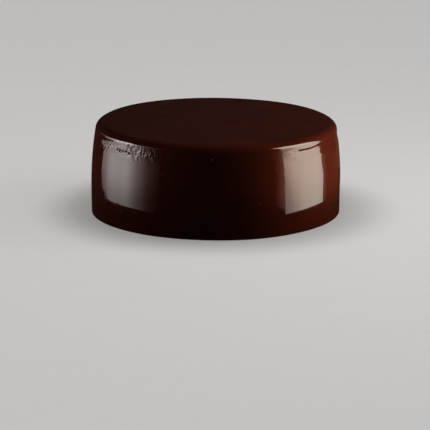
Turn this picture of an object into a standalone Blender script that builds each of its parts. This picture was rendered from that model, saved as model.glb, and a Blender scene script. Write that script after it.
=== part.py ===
"""Chocolate cake: one uncut round cake with a poured glaze over its top and side.

Metres, +Z up. The origin is the centre of the flat base that the cake rests on.
"""

import math
import random

import bpy

# Driving dimensions
CAKE_HEIGHT = 0.0727
CAKE_DIAMETER = 0.200
BELLY_HEIGHT = 0.024      # where the side is widest
SHOULDER_DIAMETER = 0.1935      # where the side runs into the rim
FOOT_DIAMETER = 0.1996      # where the side runs into the foot
RIM_RADIUS = 0.0066
FOOT_RADIUS = 0.0016

# How the soft cake departs from a true turned shape
TOP_FALL = 0.0016      # the top is this much lower at +X than at -X
TOP_SHIFT = 0.0007      # the top sits this far to +X of the foot
WAVE_DEPTH = 0.0005      # the slow swells round the side
WAVES_ROUND = (2, 3, 5, 8)
WAVE_TWIST = 30.0      # radians of drift for each metre of height
WAVE_SEED = 159

# How finely the shape is cut into faces
TURN_STEPS = 96
TOP_RINGS = (0.0, 0.4, 0.7, 0.9)      # shares of the flat top's radius
RIM_STEPS = 6
SIDE_STEPS = 10
FOOT_STEPS = 3

GLAZE_COLOUR = (0.060, 0.0092, 0.0035, 1.0)
GLAZE_ROUGHNESS = 0.22
GLAZE_METALLIC = 0.0

SHOULDER_HEIGHT = CAKE_HEIGHT - RIM_RADIUS
COLLECTION_NAME = "chocolate_cake"
CAKE_NAME = "glazed_cake"


def clear_scene():
    for old in list(bpy.data.objects):
        bpy.data.objects.remove(old, do_unlink=True)


def side_radius(height):
    """Radius of the side: widest at the belly, drawn in towards the rim and the foot."""
    widest = CAKE_DIAMETER / 2
    if height > BELLY_HEIGHT:
        end_radius = SHOULDER_DIAMETER / 2
        share = (height - BELLY_HEIGHT) / (SHOULDER_HEIGHT - BELLY_HEIGHT)
    else:
        end_radius = FOOT_DIAMETER / 2
        share = (BELLY_HEIGHT - height) / (BELLY_HEIGHT - FOOT_RADIUS)
    return widest - (widest - end_radius) * share ** 2


def shoulder_slope():
    """Angle by which the side leans inwards where it meets the rim."""
    draw_in = (CAKE_DIAMETER - SHOULDER_DIAMETER) / 2
    return math.atan(2 * draw_in / (SHOULDER_HEIGHT - BELLY_HEIGHT))


def arc(centre_radius, centre_height, radius, start_angle, end_angle, steps):
    """Points of a round corner as (radius, height), angles measured up from level."""
    points = []
    for step in range(steps + 1):
        angle = start_angle + (end_angle - start_angle) * step / steps
        across = centre_radius + radius * math.cos(angle)
        up = centre_height + radius * math.sin(angle)
        points.append((across, up))
    return points


def half_profile():
    """The cake's outline from the middle of the top, down the side, to the base's middle."""
    slope = shoulder_slope()
    join_height = SHOULDER_HEIGHT + RIM_RADIUS * math.sin(slope)
    rim_centre = side_radius(join_height) - RIM_RADIUS * math.cos(slope)
    foot_centre = FOOT_DIAMETER / 2 - FOOT_RADIUS

    points = [(rim_centre * share, CAKE_HEIGHT) for share in TOP_RINGS]
    points += arc(rim_centre, SHOULDER_HEIGHT, RIM_RADIUS, math.pi / 2, slope, RIM_STEPS)
    for step in range(1, SIDE_STEPS):
        height = join_height + (FOOT_RADIUS - join_height) * step / SIDE_STEPS
        points.append((side_radius(height), height))
    points += arc(foot_centre, FOOT_RADIUS, FOOT_RADIUS, 0.0, -math.pi / 2, FOOT_STEPS)
    points.append((0.0, 0.0))
    return points


def turned_mesh(name, points):
    """Turns a half outline round the upright axis and returns the closed mesh."""
    outline = bpy.data.meshes.new(name + "_outline")
    edges = [(index, index + 1) for index in range(len(points) - 1)]
    outline.from_pydata([(across, 0.0, up) for across, up in points], edges, [])
    carrier = bpy.data.objects.new(name + "_outline", outline)
    bpy.context.scene.collection.objects.link(carrier)

    turn = carrier.modifiers.new("turn", "SCREW")
    turn.axis = "Z"
    turn.angle = 2 * math.pi
    turn.steps = TURN_STEPS
    turn.render_steps = TURN_STEPS
    turn.use_merge_vertices = True
    turn.merge_threshold = 0.00001

    depsgraph = bpy.context.evaluated_depsgraph_get()
    turned = bpy.data.meshes.new_from_object(carrier.evaluated_get(depsgraph))
    turned.name = name
    bpy.data.objects.remove(carrier, do_unlink=True)
    bpy.data.meshes.remove(outline)
    return turned


def wave_phases():
    """One starting angle for each of the swells round the side."""
    draw = random.Random(WAVE_SEED)
    return [draw.uniform(0.0, 2 * math.pi) for _ in WAVES_ROUND]


def swell(angle, height, phases):
    """How far the side stands in or out at one place."""
    depth = 0.0
    for count, phase in zip(WAVES_ROUND, phases):
        depth += math.sin(count * angle + phase + WAVE_TWIST * height) / math.sqrt(count)
    return WAVE_DEPTH * depth


def make_uneven(mesh):
    """Adds the swells, lets the top fall and shift, and centres the cake on its axis."""
    phases = wave_phases()
    widest = CAKE_DIAMETER / 2
    for vertex in mesh.vertices:
        across = math.hypot(vertex.co.x, vertex.co.y)
        height_share = vertex.co.z / CAKE_HEIGHT
        if across > 0.0:
            angle = math.atan2(vertex.co.y, vertex.co.x)
            near_side = (across / widest) ** 4
            stretch = 1.0 + swell(angle, vertex.co.z, phases) * near_side / across
            vertex.co.x *= stretch
            vertex.co.y *= stretch
        vertex.co.z -= TOP_FALL / 2 * vertex.co.x / widest * height_share
        vertex.co.x += TOP_SHIFT * height_share

    middle_x = (max(v.co.x for v in mesh.vertices) + min(v.co.x for v in mesh.vertices)) / 2
    middle_y = (max(v.co.y for v in mesh.vertices) + min(v.co.y for v in mesh.vertices)) / 2
    for vertex in mesh.vertices:
        vertex.co.x -= middle_x
        vertex.co.y -= middle_y


def glaze_material():
    material = bpy.data.materials.new("chocolate_glaze")
    material.use_nodes = True
    shader = material.node_tree.nodes["Principled BSDF"]
    shader.inputs["Base Color"].default_value = GLAZE_COLOUR
    shader.inputs["Roughness"].default_value = GLAZE_ROUGHNESS
    shader.inputs["Metallic"].default_value = GLAZE_METALLIC
    material.diffuse_color = GLAZE_COLOUR
    return material


def build_cake(collection):
    mesh = turned_mesh(CAKE_NAME, half_profile())
    make_uneven(mesh)
    mesh.shade_smooth()
    mesh.materials.append(glaze_material())
    cake = bpy.data.objects.new(CAKE_NAME, mesh)
    collection.objects.link(cake)


def main():
    clear_scene()
    collection = bpy.data.collections.new(COLLECTION_NAME)
    bpy.context.scene.collection.children.link(collection)
    build_cake(collection)


main()
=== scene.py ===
import math
import random

import bmesh
import bpy
from mathutils import Matrix, Vector, noise
from mathutils.bvhtree import BVHTree


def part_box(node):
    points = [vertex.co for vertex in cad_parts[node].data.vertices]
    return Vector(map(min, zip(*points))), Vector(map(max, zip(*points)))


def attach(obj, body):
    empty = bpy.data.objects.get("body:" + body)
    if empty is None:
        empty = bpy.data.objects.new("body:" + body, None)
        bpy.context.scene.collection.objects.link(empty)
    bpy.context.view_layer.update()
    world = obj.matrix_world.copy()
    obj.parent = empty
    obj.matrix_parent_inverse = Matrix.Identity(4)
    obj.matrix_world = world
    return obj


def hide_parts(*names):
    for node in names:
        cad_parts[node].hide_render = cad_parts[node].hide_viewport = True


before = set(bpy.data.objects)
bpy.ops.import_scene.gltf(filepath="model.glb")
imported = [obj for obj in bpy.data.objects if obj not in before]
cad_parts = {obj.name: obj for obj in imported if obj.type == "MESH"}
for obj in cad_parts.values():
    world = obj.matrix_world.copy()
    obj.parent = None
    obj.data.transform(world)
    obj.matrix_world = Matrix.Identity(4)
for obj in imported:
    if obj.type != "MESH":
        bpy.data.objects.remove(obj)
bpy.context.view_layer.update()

cakeLow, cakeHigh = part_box("glazed_cake")
print("frame loaded, cake is %.1f mm wide" % ((cakeHigh.x - cakeLow.x) * 1000))


def smoothStep(low, high, value):
    share = min(1.0, max(0.0, (value - low) / (high - low)))
    return share * share * (3 - 2 * share)


def bump(value, middle, halfWidth):      # soft hill, 1 in the middle, 0 from halfWidth on
    away = abs(value - middle) / halfWidth
    return 0.0 if away >= 1 else (1 - away * away) ** 2


def bearingGap(bearing, middle):      # shortest way round between two bearings, in degrees
    return (bearing - middle + 180) % 360 - 180


def meshPiece(name, bm):
    mesh = bpy.data.meshes.new(name)
    bm.to_mesh(mesh)
    bm.free()
    piece = bpy.data.objects.new(name, mesh)
    bpy.context.scene.collection.objects.link(piece)
    return piece


# the cake under its glaze: a turned form that swells and leans a little
cakeShape = {
    "levelTop": 0.0727,
    "width": 0.1998,
    "bellyHeight": 0.024,
    "shoulderWidth": 0.1934,
    "footWidth": 0.1992,
    "rimRadius": 0.0066,
    "footRadius": 0.0004,
    "topFall": 0.0016,      # the top is lower at +X by this much
    "topShift": 0.0007,
    "waveDepth": 0.0005,
    "wavesRound": (2, 3, 5, 8),
    "waveTwist": 30.0,
    "waveSeed": 159,
    "turnSteps": 840,
    "finestBearing": -48.0,      # upright edges lie closest together here
    "crowding": 0.55,
    "bandLow": 0.046,      # from here up to the rim the rings lie close together
    "bandRing": 0.0005,
    "wallRing": 0.0018,
    "rimRings": 18,
    "topRings": 15,
    "topCrowding": 0.8,      # below 1 the top's rings lie closer together towards the rim
    "footRings": 4,
    "baseRing": 0.5,
    "weld": 0.000002,
    "flatBase": 0.0001,      # nothing below this height gets relief
    "waveFade": 4,      # power by which the swells die out towards the middle
}


def wallRadius(height):      # widest at the belly, drawn in above and below
    c = cakeShape
    widest = c["width"] / 2
    if height > c["bellyHeight"]:
        end = c["shoulderWidth"] / 2
        share = (height - c["bellyHeight"]) / (c["levelTop"] - c["rimRadius"] - c["bellyHeight"])
    else:
        end = c["footWidth"] / 2
        share = (c["bellyHeight"] - height) / c["bellyHeight"]
    return widest - (widest - end) * share ** 2


def onArc(across, up, radius, angle):
    return across + radius * math.cos(angle), up + radius * math.sin(angle)


def cakeOutline():      # (across, up) from the middle of the top round to the middle of the base
    c = cakeShape
    drawIn = (c["width"] - c["shoulderWidth"]) / 2
    shoulder = c["levelTop"] - c["rimRadius"]
    slope = math.atan(2 * drawIn / (shoulder - c["bellyHeight"]))
    joinHeight = shoulder + c["rimRadius"] * math.sin(slope)
    rimCentre = wallRadius(joinHeight) - c["rimRadius"] * math.cos(slope)
    points = []
    for ring in range(c["topRings"]):
        points.append((rimCentre * (ring / c["topRings"]) ** c["topCrowding"], c["levelTop"]))
    for ring in range(c["rimRings"] + 1):
        angle = math.pi / 2 + (slope - math.pi / 2) * ring / c["rimRings"]
        points.append(onArc(rimCentre, shoulder, c["rimRadius"], angle))
    height = joinHeight
    while height > c["footRadius"] + c["wallRing"]:
        height -= c["bandRing"] if height > c["bandLow"] else c["wallRing"]
        points.append((wallRadius(height), height))
    footCentre = wallRadius(c["footRadius"]) - c["footRadius"]
    for ring in range(c["footRings"] + 1):
        angle = -math.pi / 2 * ring / c["footRings"]
        points.append(onArc(footCentre, c["footRadius"], c["footRadius"], angle))
    points.append((footCentre * c["baseRing"], 0.0))
    points.append((0.0, 0.0))
    return points


# low relief of the poured glaze; bearings are in degrees from -Y towards +X
glazeRelief = {
    "driftSize": 0.018, "driftDepth": 0.000018,      # slow unevenness of the pour
    "rippleSize": 0.0045, "rippleDepth": 0.000009,
    "calmBelow": (0.024, 0.042),      # the ripples die out towards the foot
    "calmDrift": 0.3,      # share of the drift that is left there

    # wrinkled places: middle bearing, half width, lowest, full and upper height, strength
    "wrinkled": (
        (-42, 18, 0.0555, 0.0605, 0.0678, 1.0),
        (-61, 8, 0.0560, 0.0590, 0.0678, 0.6),
        (-52, 8, 0.0560, 0.0590, 0.0678, 0.75),
        (-36, 11, 0.0585, 0.0615, 0.0676, 1.2),
        (-58, 14, 0.015, 0.022, 0.033, 0.10),
        (41, 9, 0.0600, 0.0625, 0.0668, 0.6),
        (-140, 24, 0.0535, 0.0580, 0.0672, 0.5),
        (150, 30, 0.0530, 0.0575, 0.0672, 0.7),
        (95, 18, 0.0550, 0.0590, 0.0670, 0.25),
    ),
    "edgeWander": 0.002, "edgeScale": (0.12, 60),      # their lower edge wanders
    "edgeFade": 0.0008,      # and their upper edge is quick
    "wrinkleSize": 0.0032, "wrinkleDepth": 0.00038,
    "wrinkleOctaves": (0.9, 2.0, 2),      # roughness, step in scale and count
    "wrinkleSink": 0.2,
    "ridgeSize": (0.0015, 0.0055),      # upright ridges among them, across and up
    "ridgeShare": 0.6, "ridgeSwap": 0.5,      # what the ridges add, and what they take from the wrinkles
    "ridgesLeft": (0.6, -47, -38), "ridgesElsewhere": 0.3,      # most of them right of these bearings
    "calmSize": 0.0065, "calmShare": 0.45,      # smoother islands among the wrinkles
    "calmStretch": 1.4, "calmEdge": (-0.3, 0.25),

    # lips: a return height, over which each comes back out, and its stations of bearing, top height,
    # fall height and depth
    "lips": (
        (0.0080, (
            (28, 0.0664, 0.0030, 0), (34, 0.0664, 0.0030, 0.00004), (36, 0.0663, 0.0028, 0.00010),
            (38, 0.0662, 0.0026, 0.00028), (39.7, 0.0662, 0.0026, 0.00040), (42, 0.0661, 0.0026, 0.00052),
            (44.5, 0.0659, 0.0024, 0.00068), (47, 0.0658, 0.0021, 0.00074), (50, 0.0661, 0.0024, 0.00070),
            (53.5, 0.0671, 0.0034, 0.00080), (57, 0.0677, 0.0046, 0.00084), (61, 0.0680, 0.0050, 0.00130),
            (66, 0.0680, 0.0050, 0.00150), (100, 0.0680, 0.0050, 0),
        )),
        (0.0050, (
            (-76, 0.0672, 0.0024, 0), (-68, 0.0674, 0.0026, 0.00055), (-60, 0.0675, 0.0026, 0.00060),
            (-57, 0.0676, 0.0020, 0.00040), (-53, 0.0672, 0.0018, 0.00010), (-36, 0.0672, 0.0020, 0.00014),
            (-24, 0.0672, 0.0024, 0),
        )),
        (0.0100, (
            (-54, 0.0624, 0.0026, 0), (-51, 0.0630, 0.0030, 0.00038), (-46, 0.0634, 0.0032, 0.00044),
            (-42, 0.0642, 0.0038, 0.00032), (-39, 0.0646, 0.0040, 0.00012), (-36, 0.0648, 0.0040, 0),
        )),
        (0.0100, (
            (-178, 0.0658, 0.0025, 0), (-163, 0.0658, 0.0025, 0.00025), (-145, 0.0656, 0.0025, 0.00025),
            (-127, 0.0658, 0.0025, 0),
        )),
        (0.0100, (
            (120, 0.0656, 0.0025, 0), (134, 0.0656, 0.0025, 0.0002), (147, 0.0658, 0.0025, 0.0002),
            (162, 0.0658, 0.0025, 0),
        )),
    ),
    "lipHeights": (0.045, 0.069),      # no lip reaches past these
    "lipWander": 0.0003, "lipWanderScale": 0.2,

    # pits: bearing, height, radius and depth
    "pits": (
        (-52.2, 0.0615, 0.0014, 0.00040), (-50.4, 0.0607, 0.0014, 0.00040),
        (-48.2, 0.0606, 0.0011, 0.00026), (-45.6, 0.0614, 0.0014, 0.00038),
        (-44.0, 0.0604, 0.0013, 0.00026), (-41.5, 0.0606, 0.0012, 0.00018),
        (-59.9, 0.0579, 0.0008, 0.00014), (-36.5, 0.0632, 0.0009, 0.00016),
        (-31.3, 0.0640, 0.0009, 0.00016), (-50.6, 0.0657, 0.0010, 0.00020),
        (-40.0, 0.0604, 0.0012, 0.00014),
    ),
    "pitted": (0, 1, 2, 6, 7, 7, 8),      # which wrinkled places get scattered pits, and how often
    "pitSeed": 23, "pitCount": 46, "pitHeights": (0.0575, 0.0660),
    "pitRadii": (0.0006, 0.0010), "pitDepths": (0.00008, 0.00018),
    "pitReach": (0.055, 0.068),      # no pit reaches past these heights

    # shallow hollows low down and a bulge: bearing, half width, height, half height and depth
    "hollows": ((86, 26, 0.0255, 0.0035, 0.00015), (-170, 30, 0.018, 0.005, 0.0003)),
    "hollowFoot": (0.002, 0.012),      # the hollows ease out towards the foot
    "bulge": (88, 30, 0.036, 0.016, 0.00010),
}


def scatteredPits():      # more pits, most of them in the wrinkled places
    r = glazeRelief
    draw = random.Random(r["pitSeed"])
    pits = list(r["pits"])
    for _ in range(r["pitCount"]):
        middle, halfWidth = r["wrinkled"][draw.choice(r["pitted"])][:2]
        bearing = middle + draw.uniform(-1, 1) * halfWidth
        height = draw.uniform(*r["pitHeights"])
        radius = draw.uniform(*r["pitRadii"])
        pits.append((bearing, height, radius, draw.uniform(*r["pitDepths"])))
    return pits


def alongWall(bearing):      # metres round the wall to a bearing in degrees
    return math.radians(bearing) * cakeShape["width"] / 2


def wrinkling(bearing, height):      # 0 to about 1, how wrinkled the glaze is at a place
    r = glazeRelief
    most = 0.0
    for middle, halfWidth, low, full, high, strength in r["wrinkled"]:
        gap = bearingGap(bearing, middle)
        if abs(gap) < halfWidth and low - r["edgeWander"] < height < high:
            turnScale, upScale = r["edgeScale"]
            edge = r["edgeWander"] * noise.noise(Vector((bearing * turnScale, height * upScale, middle)))
            upright = smoothStep(low + edge, full + edge, height)
            upright *= 1 - smoothStep(high - r["edgeFade"], high, height)
            most = max(most, strength * upright * math.sqrt(bump(gap, 0, halfWidth)))
    if most > 0:
        place = Vector((alongWall(bearing), height * r["calmStretch"], 0))
        island = noise.noise(place / r["calmSize"])
        most *= r["calmShare"] + (1 - r["calmShare"]) * smoothStep(*r["calmEdge"], island)
    return most


def wrinkleHeight(place, bearing):      # the wrinkles' own pattern, about -1 to 1
    r = glazeRelief
    grain = noise.fractal(place / r["wrinkleSize"], *r["wrinkleOctaves"])
    across, up = r["ridgeSize"]
    ridges = noise.noise(Vector((alongWall(bearing) / across, place.z / up, 9.0)))
    share = r["ridgesElsewhere"]
    if bearing < 0:
        most, start, end = r["ridgesLeft"]
        share = most * smoothStep(start, end, bearing)
    return (1 - r["ridgeSwap"] * share) * grain + r["ridgeShare"] * share * ridges - r["wrinkleSink"]


def lipDepth(lip, bearing, height):      # a step inwards under the rim that eases back out below
    r = glazeRelief
    back, stations = lip
    middle = (stations[0][0] + stations[-1][0]) / 2
    bearing = middle + bearingGap(bearing, middle)
    if not stations[0][0] < bearing < stations[-1][0]:
        return 0.0
    for (start, *before), (end, *after) in zip(stations, stations[1:]):
        if start <= bearing <= end:
            share = (bearing - start) / (end - start)
            top, fall, depth = (x + (y - x) * share for x, y in zip(before, after))
    top += r["lipWander"] * noise.noise(Vector((bearing * r["lipWanderScale"], 2.0, middle)))
    down = top - height
    return depth * smoothStep(0, fall, down) * (1 - smoothStep(fall, fall + back, down))


def reliefAt(place, bearing, wrinkled, pits):      # how far the glaze stands out of the smooth form
    r = glazeRelief
    calm = smoothStep(*r["calmBelow"], place.z)
    drift = r["driftDepth"] * noise.noise(place / r["driftSize"])
    depth = drift * (r["calmDrift"] + (1 - r["calmDrift"]) * calm)
    depth += r["rippleDepth"] * noise.noise(place / r["rippleSize"] + Vector((7, 1, 4))) * calm
    if wrinkled > 0:
        depth += wrinkled * r["wrinkleDepth"] * wrinkleHeight(place, bearing)
    if r["lipHeights"][0] < place.z < r["lipHeights"][1]:
        depth -= sum(lipDepth(lip, bearing, place.z) for lip in r["lips"])
    for middle, halfWidth, height, halfHeight, deep in r["hollows"]:
        along = bump(bearingGap(bearing, middle), 0, halfWidth)
        below = 1 - smoothStep(height - halfHeight, height + halfHeight, place.z)
        depth -= deep * along * below * smoothStep(*r["hollowFoot"], place.z)
    middle, halfWidth, height, halfHeight, high = r["bulge"]
    depth += high * bump(bearingGap(bearing, middle), 0, halfWidth) * bump(place.z, height, halfHeight)
    if r["pitReach"][0] < place.z < r["pitReach"][1]:
        for pitBearing, pitHeight, radius, deep in pits:
            across = alongWall(bearingGap(bearing, pitBearing))
            if abs(across) < radius and abs(place.z - pitHeight) < radius:
                depth -= deep * bump(math.hypot(across, place.z - pitHeight), 0, radius)
    return depth


def turnCake():      # spins the outline and crowds its upright edges where the glaze is most wrinkled
    c = cakeShape
    bm = bmesh.new()
    chain = [bm.verts.new((across, 0, up)) for across, up in cakeOutline()]
    edges = [bm.edges.new(pair) for pair in zip(chain, chain[1:])]
    bmesh.ops.spin(
        bm, geom=chain + edges, cent=(0, 0, 0), axis=(0, 0, 1), angle=2 * math.pi,
        steps=c["turnSteps"], use_merge=True, use_duplicate=False,
    )
    bmesh.ops.remove_doubles(bm, verts=bm.verts, dist=c["weld"])
    bmesh.ops.recalc_face_normals(bm, faces=bm.faces)
    finest = math.radians(c["finestBearing"] - 90)
    for vert in bm.verts:
        angle = math.atan2(vert.co.y, vert.co.x)
        across = math.hypot(vert.co.x, vert.co.y)
        angle -= c["crowding"] * math.sin(angle - finest)
        vert.co.x = across * math.cos(angle)
        vert.co.y = across * math.sin(angle)
    bm.normal_update()
    return bm


def swollen(place, phases):      # the same place once the cake swells, leans and falls off to one side
    c = cakeShape
    place = place.copy()
    widest = c["width"] / 2
    upShare = place.z / c["levelTop"]
    across = math.hypot(place.x, place.y)
    if across > 0:
        angle = math.atan2(place.y, place.x)
        depth = 0.0
        for count, phase in zip(c["wavesRound"], phases):
            depth += math.sin(count * angle + phase + c["waveTwist"] * place.z) / math.sqrt(count)
        stretch = 1 + c["waveDepth"] * depth * (across / widest) ** c["waveFade"] / across
        place.x *= stretch
        place.y *= stretch
    place.z -= c["topFall"] / 2 * place.x / widest * upShare
    place.x += c["topShift"] * upShare
    return place


def makeCake():
    c = cakeShape
    bm = turnCake()
    print("cake turned, %d faces" % len(bm.faces))

    draw = random.Random(c["waveSeed"])
    phases = [draw.uniform(0, 2 * math.pi) for _ in c["wavesRound"]]
    pits = scatteredPits()
    wrinkleLayer = bm.verts.layers.float.new("wrinkled")
    smooth = []
    moved = []
    for vert in bm.verts:
        bearing = math.degrees(math.atan2(vert.co.x, -vert.co.y))
        wrinkled = wrinkling(bearing, vert.co.z)
        vert[wrinkleLayer] = wrinkled
        relief = Vector((0, 0, 0))
        if vert.co.z > c["flatBase"]:
            relief = vert.normal * reliefAt(vert.co, bearing, wrinkled, pits)
        smooth.append(swollen(vert.co, phases))
        moved.append(smooth[-1] + relief)
    for vert, place in zip(bm.verts, moved):
        vert.co = place
    middleX = (max(p.x for p in smooth) + min(p.x for p in smooth)) / 2
    middleY = (max(p.y for p in smooth) + min(p.y for p in smooth)) / 2
    centre = (cakeLow + cakeHigh) / 2
    bmesh.ops.translate(bm, verts=bm.verts, vec=(centre.x - middleX, centre.y - middleY, 0))
    surface = BVHTree.FromBMesh(bm)
    cake = meshPiece("glazedCake", bm)
    cake.data.shade_smooth()
    return cake, surface


# tiny bubbles that set in the glaze
bubbleScatter = {
    "seed": 41,
    "count": 64,
    "heights": (0.004, 0.066),
    "radii": (0.00018, 0.00042),
    "flatness": 0.55,
    "sink": 0.1,      # share of the radius that sits below the glaze
    "clearOf": (10, 0.05),      # none within these degrees of a widest place, below this height
    # bearing, height and radius of the ones that stand out
    "known": (
        (-39.4, 0.0161, 0.00050), (-24.4, 0.0493, 0.00042), (-25.8, 0.0452, 0.00040),
        (-12.1, 0.0045, 0.00045), (44.7, 0.0165, 0.00052), (31.5, 0.0402, 0.00040),
        (31.0, 0.0286, 0.00042), (72.4, 0.0244, 0.00038), (77.0, 0.0225, 0.00038),
        (-43.6, 0.0655, 0.00050), (31.2, 0.0330, 0.00030), (30.6, 0.0230, 0.00034),
    ),
}


def makeBubbles(surface):
    b = bubbleScatter
    clearDegrees, clearHeight = b["clearOf"]
    draw = random.Random(b["seed"])
    spots = list(b["known"])
    while len(spots) < b["count"] + len(b["known"]):
        bearing = draw.uniform(-180, 180)
        height = draw.uniform(*b["heights"])
        nearWidest = abs((bearing + 45) % 90 - 45) < clearDegrees and height < clearHeight
        if not nearWidest:
            spots.append((bearing, height, draw.uniform(*b["radii"])))
    bm = bmesh.new()
    for bearing, height, radius in spots:
        outward = Vector((math.sin(math.radians(bearing)), -math.cos(math.radians(bearing)), 0))
        start = outward * cakeShape["width"] + Vector((0, 0, height))
        place, normal, _, _ = surface.ray_cast(start, -outward)
        turn = normal.to_track_quat("Z", "Y").to_matrix().to_4x4()
        flat = Matrix.Diagonal((1, 1, b["flatness"], 1))
        spot = Matrix.Translation(place - normal * radius * b["sink"]) @ turn @ flat
        bmesh.ops.create_icosphere(bm, subdivisions=2, radius=radius, matrix=spot)
    wrinkleLayer = bm.verts.layers.float.new("wrinkled")
    for vert in bm.verts:
        vert[wrinkleLayer] = 0.0
    bubbles = meshPiece("glazeBubbles", bm)
    bubbles.data.shade_smooth()
    return bubbles


# the glaze
glazeLook = {
    "dark": (0.054, 0.0082, 0.0031, 1),
    "light": (0.066, 0.0102, 0.0039, 1),
    "cloudScale": 45.0, "cloudDetail": 5, "cloudEdges": (0.35, 0.68),      # darker and lighter glaze
    "patchScale": 135.0, "patchDetail": 6, "patchEdges": (0.35, 0.7),      # smoother and duller glaze
    "smooth": 0.035,
    "dull": 0.070,
    "wrinkledDull": 0.05,      # added to the roughness where the glaze is wrinkled
    "streakScale": 260.0, "streakDetail": 3, "streakStretch": (1, 1, 0.07),      # they run down the side
    "streakDepth": 0.000010,
    "grainScale": 1100.0,
    "grainDepth": 0.0000015,
    "cellScale": 620.0, "cellDetail": 2, "cellRoughness": 0.55,      # fine cells in the wrinkled places
    "cellDepth": 0.00027,
    "ior": 1.5,
}


def addNode(tree, kind, place, **settings):
    node = tree.nodes.new(kind)
    node.location = place
    for name, value in settings.items():
        setattr(node, name, value)
    return node


def addNoise(tree, vector, place, scale, detail=2, roughness=0.5):
    node = addNode(tree, "ShaderNodeTexNoise", place)
    node.inputs["Scale"].default_value = scale
    node.inputs["Detail"].default_value = detail
    node.inputs["Roughness"].default_value = roughness
    tree.links.new(vector, node.inputs["Vector"])
    return node.outputs["Fac"]


def addBump(tree, height, place, distance):
    node = addNode(tree, "ShaderNodeBump", place)
    node.inputs["Distance"].default_value = distance
    tree.links.new(height, node.inputs["Height"])
    return node


def makeGlaze():
    g = glazeLook
    material = bpy.data.materials.new("chocolateGlaze")
    material.use_nodes = True
    tree = material.node_tree
    link = tree.links.new
    shader = tree.nodes["Principled BSDF"]
    shader.inputs["IOR"].default_value = g["ior"]
    where = addNode(tree, "ShaderNodeTexCoord", (-1500, 0)).outputs["Object"]
    attribute = addNode(tree, "ShaderNodeAttribute", (-1500, -700), attribute_name="wrinkled")
    wrinkled = attribute.outputs["Fac"]

    clouds = addNoise(tree, where, (-1200, 300), g["cloudScale"], g["cloudDetail"])
    tone = addNode(tree, "ShaderNodeValToRGB", (-900, 300))
    for element, edge, colour in zip(tone.color_ramp.elements, g["cloudEdges"], (g["dark"], g["light"])):
        element.position = edge
        element.color = colour
    link(clouds, tone.inputs["Fac"])
    link(tone.outputs["Color"], shader.inputs["Base Color"])

    patches = addNoise(tree, where, (-1200, 0), g["patchScale"], g["patchDetail"])
    dullness = addNode(tree, "ShaderNodeMapRange", (-900, 0))
    dullness.inputs["From Min"].default_value = g["patchEdges"][0]
    dullness.inputs["From Max"].default_value = g["patchEdges"][1]
    dullness.inputs["To Min"].default_value = g["smooth"]
    dullness.inputs["To Max"].default_value = g["dull"]
    link(patches, dullness.inputs["Value"])
    addDull = addNode(tree, "ShaderNodeMath", (-650, 0), operation="MULTIPLY_ADD")
    addDull.inputs[1].default_value = g["wrinkledDull"]
    link(wrinkled, addDull.inputs[0])
    link(dullness.outputs["Result"], addDull.inputs[2])
    link(addDull.outputs["Value"], shader.inputs["Roughness"])

    stretch = addNode(tree, "ShaderNodeMapping", (-1200, -300))
    stretch.inputs["Scale"].default_value = g["streakStretch"]
    link(where, stretch.inputs["Vector"])
    streaks = addNoise(tree, stretch.outputs["Vector"], (-1000, -300), g["streakScale"], g["streakDetail"])
    streakBump = addBump(tree, streaks, (-700, -300), g["streakDepth"])

    grain = addNoise(tree, where, (-1000, -550), g["grainScale"])
    grainBump = addBump(tree, grain, (-450, -400), g["grainDepth"])
    link(streakBump.outputs["Normal"], grainBump.inputs["Normal"])

    cells = addNoise(tree, where, (-1000, -800), g["cellScale"], g["cellDetail"], g["cellRoughness"])
    cellHeight = addNode(tree, "ShaderNodeMath", (-750, -800), operation="MULTIPLY")
    link(cells, cellHeight.inputs[0])
    link(wrinkled, cellHeight.inputs[1])
    cellBump = addBump(tree, cellHeight.outputs["Value"], (-250, -500), g["cellDepth"])
    link(grainBump.outputs["Normal"], cellBump.inputs["Normal"])
    link(cellBump.outputs["Normal"], shader.inputs["Normal"])
    return material


def glowMaterial(name, colour, strength=1.0):
    material = bpy.data.materials.new(name)
    material.use_nodes = True
    tree = material.node_tree
    tree.nodes.clear()
    glow = addNode(tree, "ShaderNodeEmission", (0, 0))
    glow.inputs["Color"].default_value = (*colour, 1)
    glow.inputs["Strength"].default_value = strength
    out = addNode(tree, "ShaderNodeOutputMaterial", (200, 0))
    tree.links.new(glow.outputs["Emission"], out.inputs["Surface"])
    material.cycles.emission_sampling = "NONE"
    return material


def seenOnlyBy(piece, camera=False, glossy=False, shadow=False):
    piece.visible_camera = camera
    piece.visible_glossy = glossy
    piece.visible_shadow = shadow
    piece.visible_diffuse = False
    piece.visible_transmission = False
    piece.visible_volume_scatter = False


# floor, backdrop and dim surroundings
room = {
    "tint": (1, 0.99, 0.98),
    "floorHalf": 9.0,
    "floorPale": (0.20, 0.198, 0.195, 1),
    "floorDeep": (0.17, 0.168, 0.165, 1),
    "floorRoughness": 0.9,
    "floorGlow": 0.50,
    "mottleScale": 30, "mottleDetail": 6,
    "paintedShadowReach": (0.094, 0.155),      # painted contact shadow: the floor's glow dims softly towards the cake
    "paintedShadowShare": 0.5,
    "backdropRadius": 8.0,
    "backdropGlow": 0.56,
    "ambient": (0.011, 0.0105, 0.010),
    "shadeRadius": 0.1605,      # flat dark shade under the cake, against light from below
    "shadeToRight": -0.0065,
    "shadeDrop": 0.0002,
    "shadeGlow": (0.008, 0.008, 0.008),
}


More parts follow.
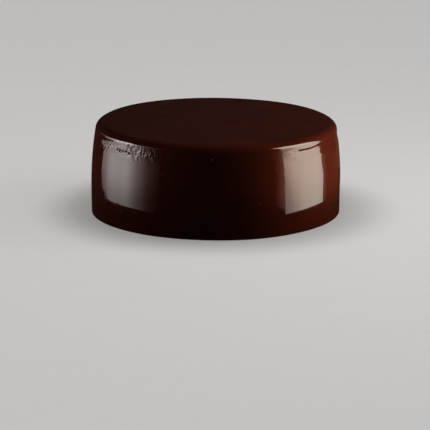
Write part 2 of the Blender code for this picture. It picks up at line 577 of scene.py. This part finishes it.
def floorMaterial():
    s = room
    material = bpy.data.materials.new("paleFloor")
    material.use_nodes = True
    tree = material.node_tree
    shader = tree.nodes["Principled BSDF"]
    shader.inputs["Roughness"].default_value = s["floorRoughness"]
    shader.inputs["Emission Color"].default_value = (*s["tint"], 1)
    where = addNode(tree, "ShaderNodeTexCoord", (-900, 0)).outputs["Object"]
    mottle = addNoise(tree, where, (-700, 0), s["mottleScale"], s["mottleDetail"])
    tone = addNode(tree, "ShaderNodeValToRGB", (-400, 0))
    tone.color_ramp.elements[0].color = s["floorDeep"]
    tone.color_ramp.elements[1].color = s["floorPale"]
    tree.links.new(mottle, tone.inputs["Fac"])
    tree.links.new(tone.outputs["Color"], shader.inputs["Base Color"])
    # painted contact shadow: the floor's glow is dimmed near the cake to stand in for the shade at its
    # foot
    away = addNode(tree, "ShaderNodeVectorMath", (-700, -300), operation="LENGTH")
    paintedShadowRamp = addNode(tree, "ShaderNodeMapRange", (-400, -300), interpolation_type="SMOOTHSTEP")
    paintedShadowRamp.inputs["From Min"].default_value = s["paintedShadowReach"][0]
    paintedShadowRamp.inputs["From Max"].default_value = s["paintedShadowReach"][1]
    paintedShadowRamp.inputs["To Min"].default_value = s["floorGlow"] * s["paintedShadowShare"]
    paintedShadowRamp.inputs["To Max"].default_value = s["floorGlow"]
    tree.links.new(where, away.inputs[0])
    tree.links.new(away.outputs["Value"], paintedShadowRamp.inputs["Value"])
    tree.links.new(paintedShadowRamp.outputs["Result"], shader.inputs["Emission Strength"])
    material.cycles.emission_sampling = "NONE"
    return material


def makeFloor():
    bm = bmesh.new()
    bmesh.ops.create_grid(bm, x_segments=4, y_segments=4, size=room["floorHalf"])
    floor = meshPiece("floor", bm)
    floor.data.materials.append(floorMaterial())
    seenOnlyBy(floor, camera=True)


def makeBackdrop():
    bm = bmesh.new()
    bmesh.ops.create_uvsphere(bm, u_segments=48, v_segments=24, radius=room["backdropRadius"])
    bmesh.ops.reverse_faces(bm, faces=bm.faces)
    backdrop = meshPiece("backdrop", bm)
    backdrop.data.shade_smooth()
    backdrop.data.materials.append(glowMaterial("paleBackdrop", room["tint"], room["backdropGlow"]))
    seenOnlyBy(backdrop, camera=True)


def makeShade():
    bm = bmesh.new()
    bmesh.ops.create_circle(bm, cap_ends=True, segments=256, radius=room["shadeRadius"])
    bmesh.ops.translate(bm, verts=bm.verts, vec=(room["shadeToRight"], 0, -room["shadeDrop"]))
    shade = meshPiece("plateShade", bm)
    shade.data.materials.append(glowMaterial("shadeDark", room["shadeGlow"]))
    seenOnlyBy(shade, glossy=True, shadow=True)


def makeSurroundings():
    world = bpy.data.worlds.new("dimRoom")
    bpy.context.scene.world = world
    world.use_nodes = True
    background = world.node_tree.nodes["Background"]
    background.inputs["Color"].default_value = (*room["ambient"], 1)
    background.inputs["Strength"].default_value = 1.0


# softboxes that the glaze mirrors: outlines as (y, z) on an upright plane, brightness along y and up z;
# corner dims one by -(y + z), towards its near lower corner, and a dip dims an upper strip of its near end
softboxes = {
    "right": {
        "side": 0.80,
        "outline": (
            (-0.375, -0.225), (-0.13, -0.205), (0.19, -0.205), (0.258, -0.21), (0.276, -0.18),
            (0.274, -0.148), (0.289, -0.091), (0.260, -0.042), (0.256, -0.005), (0.262, 0.035),
            (0.306, 0.062), (0.280, 0.12), (0.225, 0.211), (0.141, 0.38), (0.03, 0.47),
            (-0.06, 0.52), (-0.14, 0.54), (-0.24, 0.58), (-0.34, 0.60), (-0.47, 0.62),
            (-0.53, 0.64), (-0.50, 0.54), (-0.465, 0.42), (-0.455, 0.25), (-0.458, 0.109),
            (-0.440, 0.083), (-0.430, 0.056), (-0.424, 0.026), (-0.415, -0.044), (-0.403, -0.128),
            (-0.390, -0.172),
        ),
        "along": (
            (-0.55, (3.4, 2.6, 2.0)), (-0.41, (6.8, 5.2, 4.05)), (-0.347, (7.3, 5.7, 4.45)),
            (-0.287, (7.8, 6.3, 5.15)), (-0.19, (7.6, 6.2, 5.15)), (-0.10, (7.35, 6.4, 5.3)),
            (-0.05, (6.9, 6.1, 5.1)), (0.01, (6.6, 5.85, 4.95)), (0.067, (6.05, 5.5, 4.6)),
            (0.13, (5.6, 5.1, 4.25)), (0.18, (5.1, 4.6, 3.9)), (0.233, (4.6, 3.9, 3.35)),
            (0.34, (4.1, 3.4, 2.9)),
        ),
        "up": (
            (-0.22, 0.74), (-0.17, 0.80), (-0.14, 0.85), (-0.105, 0.89), (-0.07, 0.94),
            (-0.03, 0.99), (0.02, 1.0), (0.18, 1.0), (0.30, 1.3), (0.62, 1.35),
        ),
        "corner": (
            (-0.60, 1.0), (0.10, 1.0), (0.25, 0.95), (0.32, 0.86), (0.375, 0.76), (0.447, 0.57),
            (0.62, 0.45),
        ),
        "dipAlong": (
            (-0.56, 1.0), (-0.31, 1.0), (-0.27, 0.75), (-0.23, 0.3), (-0.18, 0.0), (0.34, 0.0),
        ),
        "dipUp": (
            (-0.22, 0.0), (0.04, 0.0), (0.055, 0.08), (0.065, 0.14), (0.075, 0.38), (0.09, 0.48),
            (0.12, 0.46), (0.17, 0.42), (0.25, 0.28), (0.40, 0.0),
        ),
    },
    "left": {
        "side": -0.80,
        "outline": (
            (-0.65, -0.22), (-0.24, -0.205), (-0.03, -0.195), (0.132, -0.190), (0.259, -0.172),
            (0.335, -0.162), (0.381, -0.157), (0.450, -0.154), (0.492, -0.128), (0.520, -0.107),
            (0.512, -0.073), (0.511, -0.048), (0.485, -0.022), (0.49, 0.03), (0.58, 0.06),
            (0.82, 0.075), (0.81, 0.095), (0.576, 0.10), (0.35, 0.16), (0.152, 0.22),
            (-0.01, 0.287), (-0.177, 0.29), (-0.316, 0.365), (-0.496, 0.34), (-0.65, 0.345),
        ),
        "along": (
            (-0.65, (0.05, 0.04, 0.04)), (-0.56, (0.17, 0.12, 0.11)), (-0.43, (0.36, 0.29, 0.28)),
            (-0.375, (0.65, 0.50, 0.49)), (-0.30, (1.25, 1.06, 1.0)), (-0.231, (1.75, 1.54, 1.48)),
            (-0.196, (2.25, 2.0, 1.95)), (-0.162, (2.65, 2.4, 2.34)), (-0.129, (3.3, 3.0, 2.93)),
            (-0.094, (3.75, 3.45, 3.35)), (-0.03, (4.25, 3.95, 3.75)), (0.045, (3.75, 3.5, 3.35)),
            (0.121, (3.5, 3.25, 3.1)), (0.20, (3.35, 3.1, 3.0)), (0.266, (2.8, 2.6, 2.5)),
            (0.314, (2.3, 2.1, 2.05)), (0.371, (1.6, 1.4, 1.36)), (0.42, (1.3, 1.1, 1.06)),
            (0.51, (1.1, 0.9, 0.85)), (0.80, (0.5, 0.36, 0.33)),
        ),
        "up": (
            (-0.20, 0.36), (-0.15, 0.44), (-0.135, 0.54), (-0.12, 0.60), (-0.10, 0.72),
            (-0.085, 0.82), (-0.065, 0.90), (-0.03, 1.0), (0.07, 1.0), (0.12, 1.4), (0.18, 2.2),
            (0.27, 2.5), (0.36, 3.0),
        ),
        "dipAlong": (
            (-0.65, 1.0), (-0.24, 1.0), (-0.18, 0.75), (-0.14, 0.5), (-0.10, 0.25), (-0.04, 0.0),
            (0.80, 0.0),
        ),
        "dipUp": (
            (-0.22, 0.0), (0.015, 0.0), (0.025, 0.15), (0.035, 0.45), (0.05, 0.72), (0.08, 0.78),
            (0.13, 0.76), (0.18, 0.6), (0.36, 0.6),
        ),
    },
    "rightHalo": {
        "side": 0.83,
        "outline": (
            (-0.62, -0.20), (0.46, -0.20), (0.46, 0.16), (-0.62, 0.16),
        ),
        "along": (
            (-0.62, (0, 0, 0)), (-0.55, (0.2, 0.09, 0.07)), (-0.50, (0.6, 0.26, 0.20)),
            (-0.43, (1.2, 0.60, 0.45)), (0.31, (0.5, 0.35, 0.28)), (0.39, (0.15, 0.10, 0.08)),
            (0.46, (0, 0, 0)),
        ),
        "up": ((-0.22, 0.5), (-0.12, 1.0), (0.10, 1.0), (0.16, 0.3)),
    },
    "rear": {"place": (0.10, 0.80, 1.2), "heights": (-0.245, 0.0), "colour": (0.055, 0.047, 0.030)},
}


def addRamp(tree, value, stops, place):      # stops are (metres, colour)
    low, high = stops[0][0], stops[-1][0]
    share = addNode(tree, "ShaderNodeMapRange", (place[0] - 250, place[1]))
    share.inputs["From Min"].default_value = low
    share.inputs["From Max"].default_value = high
    tree.links.new(value, share.inputs["Value"])
    ramp = addNode(tree, "ShaderNodeValToRGB", place)
    while len(ramp.color_ramp.elements) < len(stops):
        ramp.color_ramp.elements.new(0.5)
    for element, (position, colour) in zip(ramp.color_ramp.elements, stops):
        element.position = (position - low) / (high - low)
        element.color = (*colour, 1)
    tree.links.new(share.outputs["Result"], ramp.inputs["Fac"])
    return ramp.outputs["Color"]


def greyStops(stops):      # (metres, share) as (metres, colour)
    return [(at, (share, share, share)) for at, share in stops]


def makeSoftbox(name, box):
    bm = bmesh.new()
    corners = list(box["outline"])
    if box["side"] > 0:
        corners.reverse()
    bm.faces.new([bm.verts.new((box["side"], y, z)) for y, z in corners])
    card = meshPiece(name, bm)
    material = glowMaterial(name + "Glow", (1, 1, 1))
    tree = material.node_tree
    where = addNode(tree, "ShaderNodeTexCoord", (-1200, 0))
    split = addNode(tree, "ShaderNodeSeparateXYZ", (-1000, 0))
    tree.links.new(where.outputs["Object"], split.inputs["Vector"])
    glow = addRamp(tree, split.outputs["Y"], box["along"], (-450, 200))
    shares = [addRamp(tree, split.outputs["Z"], greyStops(box["up"]), (-450, -200))]
    if "corner" in box:
        slant = addNode(tree, "ShaderNodeVectorMath", (-950, -500), operation="DOT_PRODUCT")
        slant.inputs[1].default_value = (0, -1, -1)
        tree.links.new(where.outputs["Object"], slant.inputs[0])
        shares.append(addRamp(tree, slant.outputs["Value"], greyStops(box["corner"]), (-450, -600)))
    if "dipUp" in box:
        along = addRamp(tree, split.outputs["Y"], greyStops(box["dipAlong"]), (-450, -900))
        up = addRamp(tree, split.outputs["Z"], greyStops(box["dipUp"]), (-450, -1200))
        dip = addNode(tree, "ShaderNodeVectorMath", (-300, -1000), operation="MULTIPLY")
        tree.links.new(along, dip.inputs[0])
        tree.links.new(up, dip.inputs[1])
        left = addNode(tree, "ShaderNodeVectorMath", (-150, -1000), operation="SUBTRACT")
        left.inputs[0].default_value = (1, 1, 1)
        tree.links.new(dip.outputs["Vector"], left.inputs[1])
        shares.append(left.outputs["Vector"])
    for share in shares:
        both = addNode(tree, "ShaderNodeVectorMath", (-180, 0), operation="MULTIPLY")
        tree.links.new(glow, both.inputs[0])
        tree.links.new(share, both.inputs[1])
        glow = both.outputs["Vector"]
    tree.links.new(glow, tree.nodes["Emission"].inputs["Color"])
    card.data.materials.append(material)
    seenOnlyBy(card, glossy=True)


def makeSoftboxes():
    makeSoftbox("rightSoftbox", softboxes["right"])
    makeSoftbox("leftSoftbox", softboxes["left"])
    makeSoftbox("rightHalo", softboxes["rightHalo"])
    rear = softboxes["rear"]
    left, right, back = rear["place"]
    low, high = rear["heights"]
    corners = ((left, back, low), (right, back, low), (right, back, high), (left, back, high))
    bm = bmesh.new()
    bm.faces.new([bm.verts.new(corner) for corner in corners])
    card = meshPiece("rearCard", bm)
    card.data.materials.append(glowMaterial("rearCardGlow", rear["colour"]))
    seenOnlyBy(card, glossy=True)


# soft lights that only the matt part of the glaze and the floor take up
lamps = {
    "rightLow": {"bearing": 98, "distance": 0.80, "height": -0.26, "size": 0.25, "watts": 11.0},
    "rightMiddle": {"bearing": 98, "distance": 0.80, "height": 0.02, "size": 0.25, "watts": 2.7},
    "rightOver": {"bearing": 93, "distance": 0.38, "height": 0.36, "size": 0.2, "watts": 1.40},
    "frontOver": {"bearing": 60, "distance": 0.50, "height": 0.50, "size": 0.5, "watts": 1.25},
    "leftLow": {"bearing": -92, "distance": 0.80, "height": -0.22, "size": 0.25, "watts": 1.94},
    "leftMiddle": {"bearing": -90, "distance": 0.80, "height": 0.10, "size": 0.25, "watts": 1.05},
}


def makeLamps():
    for name, lamp in lamps.items():
        data = bpy.data.lights.new(name, "AREA")
        data.shape = "SQUARE"
        data.size = lamp["size"]
        data.energy = lamp["watts"]
        light = bpy.data.objects.new(name, data)
        bearing = math.radians(lamp["bearing"])
        outward = Vector((math.sin(bearing), -math.cos(bearing), 0))
        light.location = outward * lamp["distance"] + Vector((0, 0, lamp["height"]))
        light.rotation_euler = (-outward).to_track_quat("-Z", "Y").to_euler()
        bpy.context.scene.collection.objects.link(light)
        light.visible_camera = False
        light.visible_glossy = False


cameraPlace = {
    "distance": 1.600,      # from the middle of the cake
    "elevation": 13.16,
    "aimBelow": 1.455,      # degrees that it points below the cake's middle
    "pixelsPerMetre": 1245.5,      # at the cake's middle
    "framePixels": 430,
    "toRight": -0.0006,
    "sensorMillimetres": 36,
    "farClip": 50,
}


def makeCamera():
    c = cameraPlace
    data = bpy.data.cameras.new("camera")
    camera = bpy.data.objects.new("camera", data)
    bpy.context.scene.collection.objects.link(camera)
    rise = math.radians(c["elevation"])
    height = cakeShape["levelTop"] / 2 + c["distance"] * math.sin(rise)
    camera.location = (c["toRight"], -c["distance"] * math.cos(rise), height)
    camera.rotation_euler = (math.radians(90 - c["elevation"] - c["aimBelow"]), 0, 0)
    data.sensor_width = c["sensorMillimetres"]
    data.lens = c["sensorMillimetres"] * c["pixelsPerMetre"] * c["distance"] / c["framePixels"]
    data.clip_end = c["farClip"]
    bpy.context.scene.camera = camera


glaze = makeGlaze()
cake, surface = makeCake()
cake.data.materials.append(glaze)
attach(cake, "root")
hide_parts("glazed_cake")
print("cake finished")

bubbles = makeBubbles(surface)
bubbles.data.materials.append(glaze)
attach(bubbles, "root")
print("bubbles set")

makeFloor()
makeBackdrop()
makeShade()
makeSurroundings()
makeSoftboxes()
makeLamps()
makeCamera()
bpy.context.scene.view_settings.view_transform = "Standard"
bpy.context.scene.view_settings.look = "None"
print("studio ready")
